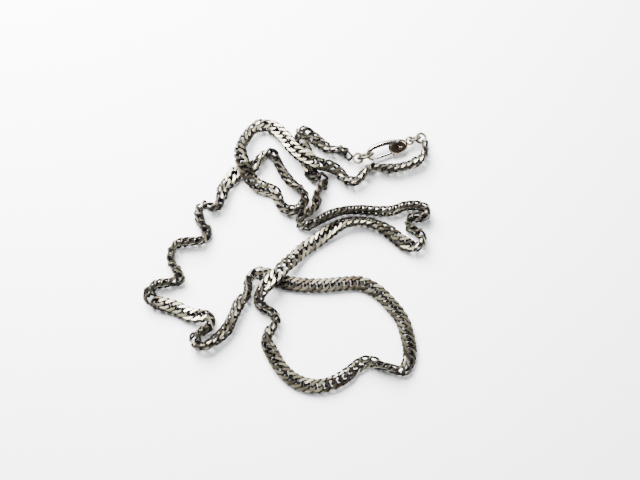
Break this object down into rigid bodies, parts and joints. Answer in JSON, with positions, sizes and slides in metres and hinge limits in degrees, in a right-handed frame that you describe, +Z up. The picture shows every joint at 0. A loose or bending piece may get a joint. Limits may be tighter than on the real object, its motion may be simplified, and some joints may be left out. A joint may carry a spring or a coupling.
{
  "type": "chain necklace",
  "caption": "Flat double curb chain necklace in tarnished silver, fastened and lying in a loose heap, with a lobster clasp.",
  "frame": {"origin": "middle of the heap's plan, on the surface it lies on", "axes": "+Z up from the surface, +Y towards the top of the tall arch beside the clasp, +X towards the clasp side"},
  "size_m": [0.0758, 0.0744, 0.0059],
  "materials": {
    "oxidised_silver": "bright diamond-cut facets over dark tarnish",
    "oxidised_silver_ring": "satin wire with dark tarnish",
    "polished_silver": "polished, softly worn",
    "spring_steel": "plain"
  },
  "bodies": {
    "run_01": {"run_01": "oxidised_silver"},
    "run_02": {"run_02": "oxidised_silver"},
    "run_03": {"run_03": "oxidised_silver"},
    "run_04": {"run_04": "oxidised_silver"},
    "run_05": {"run_05": "oxidised_silver"},
    "run_06": {"run_06": "oxidised_silver"},
    "run_07": {"run_07": "oxidised_silver"},
    "run_08": {"run_08": "oxidised_silver"},
    "run_09": {"run_09": "oxidised_silver"},
    "run_10": {"run_10": "oxidised_silver"},
    "run_11": {"run_11": "oxidised_silver"},
    "run_12": {"run_12": "oxidised_silver"},
    "run_13": {"run_13": "oxidised_silver"},
    "run_14": {"run_14": "oxidised_silver"},
    "run_15": {"run_15": "oxidised_silver"},
    "run_16": {"run_16": "oxidised_silver"},
    "run_17": {"run_17": "oxidised_silver"},
    "run_18": {"run_18": "oxidised_silver"},
    "run_19": {"run_19": "oxidised_silver"},
    "run_20": {"run_20": "oxidised_silver"},
    "run_23": {"run_23": "oxidised_silver"},
    "run_24": {"run_24": "oxidised_silver"},
    "run_25": {"run_25": "oxidised_silver"},
    "run_26": {"run_26": "oxidised_silver"},
    "run_27": {"run_27": "oxidised_silver"},
    "run_28": {"run_28": "oxidised_silver"},
    "run_29": {"run_29": "oxidised_silver"},
    "run_30": {"run_30": "oxidised_silver"},
    "run_31": {"run_31": "oxidised_silver"},
    "run_32": {"run_32": "oxidised_silver"},
    "run_33": {"run_33": "oxidised_silver"},
    "run_34": {"run_34": "oxidised_silver"},
    "run_35": {"run_35": "oxidised_silver"},
    "run_36": {"run_36": "oxidised_silver"},
    "run_37": {"run_37": "oxidised_silver"},
    "run_38": {"run_38": "oxidised_silver"},
    "run_39": {"run_39": "oxidised_silver"},
    "run_40": {"run_40": "oxidised_silver"},
    "run_41": {"run_41": "oxidised_silver"},
    "run_42": {"run_42": "oxidised_silver"},
    "run_43": {"run_43": "oxidised_silver"},
    "run_44": {"run_44": "oxidised_silver"},
    "run_45": {"run_45": "oxidised_silver"},
    "runs_21_22": {"run_21": "oxidised_silver", "run_22": "oxidised_silver"},
    "tail_link": {"tail_link": "oxidised_silver_ring"},
    "catch_link": {"catch_link": "oxidised_silver_ring"},
    "tail_ring": {"tail_ring": "oxidised_silver_ring"},
    "catch_ring": {"catch_ring": "oxidised_silver_ring"},
    "clasp": {"clasp_body": "polished_silver", "clasp_pin": "polished_silver", "clasp_spring": "spring_steel"},
    "clasp_lever": {"clasp_lever": "polished_silver"}
  },
  "joints": [
    {"name": "pivot_20_21", "type": "hinge", "parent": "runs_21_22", "child": "run_20", "pos_m": [-0.00803, -0.00555, 0.00164], "axis": [-0.8104, 0.5858, -0.0029], "range_deg": [0, 12]},
    {"name": "pivot_19_20", "type": "hinge", "parent": "run_20", "child": "run_19", "pos_m": [-0.01379, -0.01591, 0.00188], "axis": [-0.8104, 0.5858, -0.0029], "range_deg": [-23.76, 0]},
    {"name": "pivot_18_19", "type": "hinge", "parent": "run_19", "child": "run_18", "pos_m": [-0.02199, -0.02481, 0.00212], "axis": [-0.8104, 0.5858, -0.0029], "range_deg": [0, 11.76]},
    {"name": "pivot_17_18", "type": "hinge", "parent": "run_18", "child": "run_17", "pos_m": [-0.02072, -0.0174, 0.00202], "axis": [0.8909, 0.4383, 0.1192], "range_deg": [0, 6]},
    {"name": "pivot_16_17", "type": "hinge", "parent": "run_17", "child": "run_16", "pos_m": [-0.03265, -0.01392, 0.00132], "axis": [0.8909, 0.4383, 0.1192], "range_deg": [-17.5, 0]},
    {"name": "pivot_15_16", "type": "hinge", "parent": "run_16", "child": "run_15", "pos_m": [-0.03029, -0.00787, 0.0021], "axis": [0.8909, 0.4383, 0.1192], "range_deg": [0, 11.5]},
    {"name": "pivot_14_15", "type": "hinge", "parent": "run_15", "child": "run_14", "pos_m": [-0.02887, 0.00235, 0.00209], "axis": [0.5633, -0.4274, 0.7071], "range_deg": [0, 12]},
    {"name": "pivot_13_14", "type": "hinge", "parent": "run_14", "child": "run_13", "pos_m": [-0.02359, 0.00902, 0.00211], "axis": [0.5633, -0.4274, 0.7071], "range_deg": [-20.57, 0]},
    {"name": "pivot_12_13", "type": "hinge", "parent": "run_13", "child": "run_12", "pos_m": [-0.01659, 0.01865, 0.00154], "axis": [0.5633, -0.4274, 0.7071], "range_deg": [0, 8.57]},
    {"name": "pivot_11_12", "type": "hinge", "parent": "run_12", "child": "run_11", "pos_m": [-0.00827, 0.0248, 0.0019], "axis": [-0.6498, -0.7597, -0.0256], "range_deg": [0, 12]},
    {"name": "pivot_10_11", "type": "hinge", "parent": "run_11", "child": "run_10", "pos_m": [-0.0014, 0.02186, 0.00204], "axis": [-0.6498, -0.7597, -0.0256], "range_deg": [-20.95, 0]},
    {"name": "pivot_09_10", "type": "hinge", "parent": "run_10", "child": "run_09", "pos_m": [0.00392, 0.01338, 0.00208], "axis": [-0.6498, -0.7597, -0.0256], "range_deg": [0, 8.95]},
    {"name": "pivot_08_09", "type": "hinge", "parent": "run_09", "child": "run_08", "pos_m": [-0.00359, 0.01617, 0.00211], "axis": [0.8276, 0.362, -0.429], "range_deg": [0, 8]},
    {"name": "pivot_07_08", "type": "hinge", "parent": "run_08", "child": "run_07", "pos_m": [-0.01161, 0.02261, 0.0042], "axis": [0.8276, 0.362, -0.429], "range_deg": [-16.1, 0]},
    {"name": "pivot_06_07", "type": "hinge", "parent": "run_07", "child": "run_06", "pos_m": [-0.0109, 0.03274, 0.00179], "axis": [0.8276, 0.362, -0.429], "range_deg": [0, 8.1]},
    {"name": "pivot_05_06", "type": "hinge", "parent": "run_06", "child": "run_05", "pos_m": [-0.00192, 0.03245, 0.00209], "axis": [-0.4088, -0.577, 0.7071], "range_deg": [0, 4]},
    {"name": "pivot_04_05", "type": "hinge", "parent": "run_05", "child": "run_04", "pos_m": [0.00549, 0.02478, 0.00428], "axis": [-0.4088, -0.577, 0.7071], "range_deg": [-8.12, 0]},
    {"name": "pivot_03_04", "type": "hinge", "parent": "run_04", "child": "run_03", "pos_m": [0.01489, 0.02047, 0.00197], "axis": [-0.4088, -0.577, 0.7071], "range_deg": [0, 4.12]},
    {"name": "pivot_02_03", "type": "hinge", "parent": "run_03", "child": "run_02", "pos_m": [0.02393, 0.02325, 0.00208], "axis": [0.4026, -0.915, -0.0267], "range_deg": [0, 12]},
    {"name": "pivot_01_02", "type": "hinge", "parent": "run_02", "child": "run_01", "pos_m": [0.03106, 0.02353, 0.00201], "axis": [0.4026, -0.915, -0.0267], "range_deg": [-22.57, 0]},
    {"name": "tail_link_pivot", "type": "hinge", "parent": "run_01", "child": "tail_link", "pos_m": [0.03677, 0.02929, 0.00209], "axis": [0.4026, -0.915, -0.0267], "range_deg": [0, 10.57]},
    {"name": "pivot_22_23", "type": "hinge", "parent": "runs_21_22", "child": "run_23", "pos_m": [0.01481, -0.00822, 0.00105], "axis": [-0.5893, -0.8079, 0.0034], "range_deg": [0, 10]},
    {"name": "pivot_23_24", "type": "hinge", "parent": "run_23", "child": "run_24", "pos_m": [0.02472, -0.01128, 0.00105], "axis": [-0.5893, -0.8079, 0.0034], "range_deg": [-19.71, 0]},
    {"name": "pivot_24_25", "type": "hinge", "parent": "run_24", "child": "run_25", "pos_m": [0.03083, -0.02003, 0.00107], "axis": [-0.5893, -0.8079, 0.0034], "range_deg": [0, 9.71]},
    {"name": "pivot_25_26", "type": "hinge", "parent": "run_25", "child": "run_26", "pos_m": [0.03066, -0.03041, 0.00184], "axis": [-0.2032, 0.972, 0.1181], "range_deg": [0, 9]},
    {"name": "pivot_26_27", "type": "hinge", "parent": "run_26", "child": "run_27", "pos_m": [0.0204, -0.0289, 0.002], "axis": [-0.2032, 0.972, 0.1181], "range_deg": [-17.69, 0]},
    {"name": "pivot_27_28", "type": "hinge", "parent": "run_27", "child": "run_28", "pos_m": [0.01131, -0.03458, 0.0013], "axis": [-0.2032, 0.972, 0.1181], "range_deg": [0, 8.69]},
    {"name": "pivot_28_29", "type": "hinge", "parent": "run_28", "child": "run_29", "pos_m": [0.00101, -0.03308, 0.00106], "axis": [0.9466, 0.3209, -0.0305], "range_deg": [0, 12]},
    {"name": "pivot_29_30", "type": "hinge", "parent": "run_29", "child": "run_30", "pos_m": [-0.0052, -0.0244, 0.00168], "axis": [0.9466, 0.3209, -0.0305], "range_deg": [-25.82, 0]},
    {"name": "pivot_30_31", "type": "hinge", "parent": "run_30", "child": "run_31", "pos_m": [-0.0055, -0.01513, 0.00205], "axis": [0.9466, 0.3209, -0.0305], "range_deg": [0, 13.82]},
    {"name": "pivot_31_32", "type": "hinge", "parent": "run_31", "child": "run_32", "pos_m": [-0.00314, -0.00679, 0.00437], "axis": [0.4575, -0.5391, 0.7071], "range_deg": [0, 12]},
    {"name": "pivot_32_33", "type": "hinge", "parent": "run_32", "child": "run_33", "pos_m": [0.00429, 0.00102, 0.00126], "axis": [0.4575, -0.5391, 0.7071], "range_deg": [-23.99, 0]},
    {"name": "pivot_33_34", "type": "hinge", "parent": "run_33", "child": "run_34", "pos_m": [0.01322, 0.00709, 0.00166], "axis": [0.4575, -0.5391, 0.7071], "range_deg": [0, 11.99]},
    {"name": "pivot_34_35", "type": "hinge", "parent": "run_34", "child": "run_35", "pos_m": [0.02367, 0.00739, 0.00183], "axis": [0.492, -0.8688, -0.0562], "range_deg": [0, 8]},
    {"name": "pivot_35_36", "type": "hinge", "parent": "run_35", "child": "run_36", "pos_m": [0.03278, 0.00175, 0.00155], "axis": [0.492, -0.8688, -0.0562], "range_deg": [-19.91, 0]},
    {"name": "pivot_36_37", "type": "hinge", "parent": "run_36", "child": "run_37", "pos_m": [0.03269, 0.00895, 0.00208], "axis": [0.492, -0.8688, -0.0562], "range_deg": [0, 11.91]},
    {"name": "pivot_37_38", "type": "hinge", "parent": "run_37", "child": "run_38", "pos_m": [0.03229, 0.01262, 0.00211], "axis": [-0.1166, 0.9929, -0.024], "range_deg": [0, 12]},
    {"name": "pivot_38_39", "type": "hinge", "parent": "run_38", "child": "run_39", "pos_m": [0.02172, 0.01132, 0.00212], "axis": [-0.1166, 0.9929, -0.024], "range_deg": [-23.98, 0]},
    {"name": "pivot_39_40", "type": "hinge", "parent": "run_39", "child": "run_40", "pos_m": [0.01111, 0.01013, 0.00212], "axis": [-0.1166, 0.9929, -0.024], "range_deg": [0, 11.98]},
    {"name": "pivot_40_41", "type": "hinge", "parent": "run_40", "child": "run_41", "pos_m": [0.00378, 0.00977, 0.00209], "axis": [0.9589, -0.2826, 0.0256], "range_deg": [0, 12]},
    {"name": "pivot_41_42", "type": "hinge", "parent": "run_41", "child": "run_42", "pos_m": [0.00761, 0.01527, 0.00211], "axis": [0.9589, -0.2826, 0.0256], "range_deg": [-26.86, 0]},
    {"name": "pivot_42_43", "type": "hinge", "parent": "run_42", "child": "run_43", "pos_m": [0.00742, 0.02067, 0.00204], "axis": [0.9589, -0.2826, 0.0256], "range_deg": [0, 14.86]},
    {"name": "pivot_43_44", "type": "hinge", "parent": "run_43", "child": "run_44", "pos_m": [0.00326, 0.03022, 0.00145], "axis": [-0.1986, -0.98, 0.0083], "range_deg": [0, 5]},
    {"name": "pivot_44_45", "type": "hinge", "parent": "run_44", "child": "run_45", "pos_m": [0.00804, 0.0305, 0.00167], "axis": [-0.1986, -0.98, 0.0083], "range_deg": [-7.79, 0]},
    {"name": "catch_link_pivot", "type": "hinge", "parent": "run_45", "child": "catch_link", "pos_m": [0.01573, 0.0267, 0.00211], "axis": [-0.1986, -0.98, 0.0083], "range_deg": [0, 3]},
    {"name": "tail_ring_roll", "type": "hinge", "parent": "tail_link", "child": "tail_ring", "pos_m": [0.0327, 0.03061, 0.00241], "axis": [0.9381, 0.3462, 0.0117], "range_deg": [-4, 6]},
    {"name": "clasp_roll", "type": "hinge", "parent": "tail_ring", "child": "clasp", "pos_m": [0.0327, 0.03061, 0.00241], "axis": [0.9381, 0.3462, 0.0117], "range_deg": [-4, 6]},
    {"name": "lever_pivot", "type": "hinge", "parent": "clasp", "child": "clasp_lever", "pos_m": [0.03002, 0.02885, 0.00198], "axis": [-0.1528, 0.4439, -0.883], "range_deg": [0, 14], "stiffness_Nm_per_rad": 0.002, "springref_deg": -11.46},
    {"name": "catch_ring_roll", "type": "hinge", "parent": "catch_link", "child": "catch_ring", "pos_m": [0.01993, 0.02593, 0.00227], "axis": [0.9455, 0.3256, 0], "range_deg": [-8, 8]}
  ],
  "couplings": [
    {"joint": "pivot_19_20", "follows": "pivot_20_21", "ratio": -1.98},
    {"joint": "pivot_18_19", "follows": "pivot_20_21", "ratio": 0.98},
    {"joint": "pivot_16_17", "follows": "pivot_17_18", "ratio": -2.916},
    {"joint": "pivot_15_16", "follows": "pivot_17_18", "ratio": 1.916},
    {"joint": "pivot_13_14", "follows": "pivot_14_15", "ratio": -1.714},
    {"joint": "pivot_12_13", "follows": "pivot_14_15", "ratio": 0.714},
    {"joint": "pivot_10_11", "follows": "pivot_11_12", "ratio": -1.746},
    {"joint": "pivot_09_10", "follows": "pivot_11_12", "ratio": 0.746},
    {"joint": "pivot_07_08", "follows": "pivot_08_09", "ratio": -2.013},
    {"joint": "pivot_06_07", "follows": "pivot_08_09", "ratio": 1.013},
    {"joint": "pivot_04_05", "follows": "pivot_05_06", "ratio": -2.031},
    {"joint": "pivot_03_04", "follows": "pivot_05_06", "ratio": 1.031},
    {"joint": "pivot_01_02", "follows": "pivot_02_03", "ratio": -1.881},
    {"joint": "tail_link_pivot", "follows": "pivot_02_03", "ratio": 0.881},
    {"joint": "pivot_23_24", "follows": "pivot_22_23", "ratio": -1.971},
    {"joint": "pivot_24_25", "follows": "pivot_22_23", "ratio": 0.971},
    {"joint": "pivot_26_27", "follows": "pivot_25_26", "ratio": -1.966},
    {"joint": "pivot_27_28", "follows": "pivot_25_26", "ratio": 0.966},
    {"joint": "pivot_29_30", "follows": "pivot_28_29", "ratio": -2.152},
    {"joint": "pivot_30_31", "follows": "pivot_28_29", "ratio": 1.152},
    {"joint": "pivot_32_33", "follows": "pivot_31_32", "ratio": -1.999},
    {"joint": "pivot_33_34", "follows": "pivot_31_32", "ratio": 0.999},
    {"joint": "pivot_35_36", "follows": "pivot_34_35", "ratio": -2.489},
    {"joint": "pivot_36_37", "follows": "pivot_34_35", "ratio": 1.489},
    {"joint": "pivot_38_39", "follows": "pivot_37_38", "ratio": -1.998},
    {"joint": "pivot_39_40", "follows": "pivot_37_38", "ratio": 0.998},
    {"joint": "pivot_41_42", "follows": "pivot_40_41", "ratio": -2.238},
    {"joint": "pivot_42_43", "follows": "pivot_40_41", "ratio": 1.238},
    {"joint": "pivot_44_45", "follows": "pivot_43_44", "ratio": -1.558}
  ]
}
